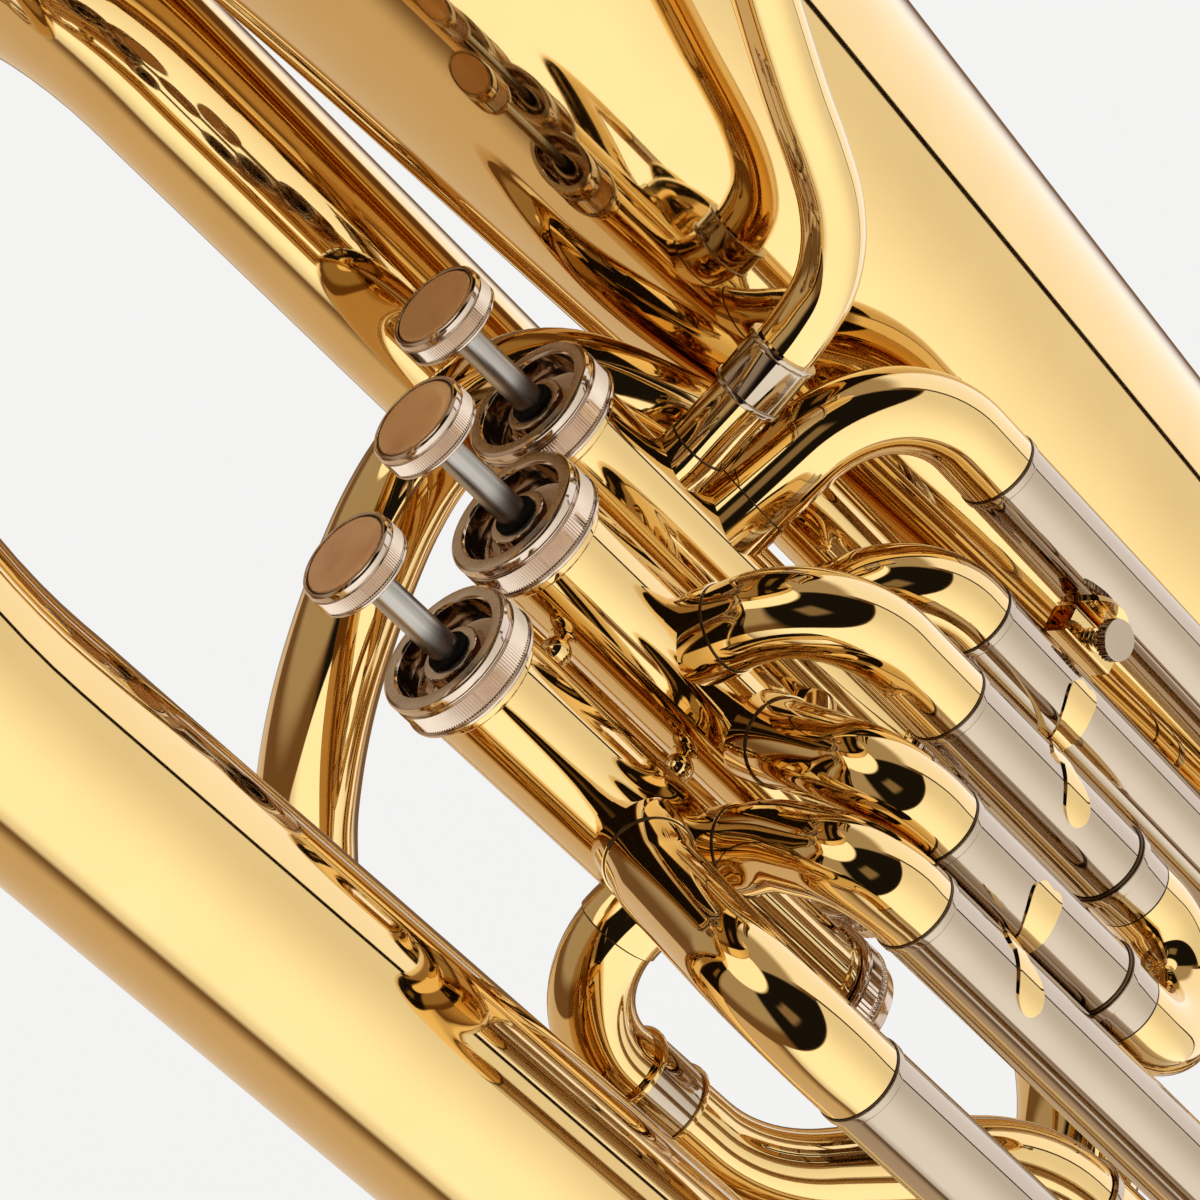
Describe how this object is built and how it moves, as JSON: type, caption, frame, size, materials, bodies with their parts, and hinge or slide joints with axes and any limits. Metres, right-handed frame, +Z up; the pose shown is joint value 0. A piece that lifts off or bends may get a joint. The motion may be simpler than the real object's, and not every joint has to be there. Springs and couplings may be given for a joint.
{
  "type": "euphonium",
  "caption": "Upright conical brass horn with top-action piston valves, pull-out valve slides, a main tuning slide and a forward flared bell.",
  "frame": {"origin": "middle of the box in plan, at the height of the bow guard's lowest point", "axes": "+Z up along the valves and the bell, +X from the valves towards the bell, -Y towards the slide side that faces the audience"},
  "size_m": [0.3669, 0.28, 0.6829],
  "materials": {
    "lacquered_brass": "polished, clear lacquer",
    "nickel": "polished nickel silver",
    "steel": "satin",
    "button_insert": "gloss, tan swirl"
  },
  "bodies": {
    "horn": {"bell": "lacquered_brass", "bottom_bow": "lacquered_brass", "bow_guard": "lacquered_brass", "outer_branch": "lacquered_brass", "top_bow": "lacquered_brass", "inner_branch": "lacquered_brass", "small_bow": "lacquered_brass", "arch_branch": "lacquered_brass", "leadpipe": "lacquered_brass", "mouthpiece_receiver": "lacquered_brass", "outlet_tube": "lacquered_brass", "knuckle_1_2": "lacquered_brass", "knuckle_2_3": "lacquered_brass", "brace_slides_1_2": "lacquered_brass", "brace_slides_2_3": "lacquered_brass", "lyre_socket": "lacquered_brass", "tuning_leg_valve_side": "nickel", "tuning_leg_bell_side": "nickel", "slide_1_upper_elbow": "lacquered_brass", "slide_1_upper_leg": "nickel", "slide_1_lower_elbow": "lacquered_brass", "slide_1_lower_leg": "nickel", "valve_1_casing": "lacquered_brass", "valve_1_top_cap": "nickel", "valve_1_bottom_cap": "nickel", "valve_1_spring": "steel", "slide_2_upper_elbow": "lacquered_brass", "slide_2_upper_leg": "nickel", "slide_2_lower_elbow": "lacquered_brass", "slide_2_lower_leg": "nickel", "valve_2_casing": "lacquered_brass", "valve_2_top_cap": "nickel", "valve_2_bottom_cap": "nickel", "valve_2_spring": "steel", "slide_3_upper_elbow": "lacquered_brass", "slide_3_upper_leg": "nickel", "slide_3_lower_elbow": "lacquered_brass", "slide_3_lower_leg": "nickel", "valve_3_casing": "lacquered_brass", "valve_3_top_cap": "nickel", "valve_3_bottom_cap": "nickel", "valve_3_spring": "steel"},
    "valve_1_action": {"valve_1_piston": "nickel", "valve_1_stem": "steel", "valve_1_button": "nickel", "valve_1_insert": "button_insert"},
    "valve_slide_1": {"slide_1_crook": "nickel"},
    "valve_2_action": {"valve_2_piston": "nickel", "valve_2_stem": "steel", "valve_2_button": "nickel", "valve_2_insert": "button_insert"},
    "valve_slide_2": {"slide_2_crook": "nickel"},
    "valve_3_action": {"valve_3_piston": "nickel", "valve_3_stem": "steel", "valve_3_button": "nickel", "valve_3_insert": "button_insert"},
    "valve_slide_3": {"slide_3_crook": "nickel"},
    "main_tuning_slide": {"tuning_crook": "nickel"},
    "water_key": {"water_key": "nickel"},
    "lyre_screw": {"lyre_screw": "nickel"}
  },
  "joints": [
    {"name": "valve_1_press", "type": "slide", "parent": "horn", "child": "valve_1_action", "axis": [0, 0, -1], "range_m": [0, 0.017], "stiffness_N_per_m": 60, "springref_m": -0.03, "deforming": ["valve_1_spring"]},
    {"name": "valve_2_press", "type": "slide", "parent": "horn", "child": "valve_2_action", "axis": [0, 0, -1], "range_m": [0, 0.017], "stiffness_N_per_m": 60, "springref_m": -0.03, "deforming": ["valve_2_spring"]},
    {"name": "valve_3_press", "type": "slide", "parent": "horn", "child": "valve_3_action", "axis": [0, 0, -1], "range_m": [0, 0.017], "stiffness_N_per_m": 60, "springref_m": -0.03, "deforming": ["valve_3_spring"]},
    {"name": "valve_slide_1_pull", "type": "slide", "parent": "horn", "child": "valve_slide_1", "axis": [0, 0, -1], "range_m": [0, 0.035]},
    {"name": "valve_slide_2_pull", "type": "slide", "parent": "horn", "child": "valve_slide_2", "axis": [0, 0, -1], "range_m": [0, 0.018]},
    {"name": "valve_slide_3_pull", "type": "slide", "parent": "horn", "child": "valve_slide_3", "axis": [0, 0, -1], "range_m": [0, 0.05]},
    {"name": "main_tuning_pull", "type": "slide", "parent": "horn", "child": "main_tuning_slide", "axis": [0, 0, -1], "range_m": [0, 0.02]},
    {"name": "water_key_hinge", "type": "hinge", "parent": "main_tuning_slide", "child": "water_key", "pos_m": [-0.05474, -0.0108, 0.1193], "axis": [0, 0, 1], "range_deg": [0, 12]},
    {"name": "lyre_screw_turn", "type": "hinge", "parent": "horn", "child": "lyre_screw", "pos_m": [-0.01782, -0.03066, 0.276], "axis": [-0.264, -0.9645, 0], "range_deg": [0, 720]}
  ]
}
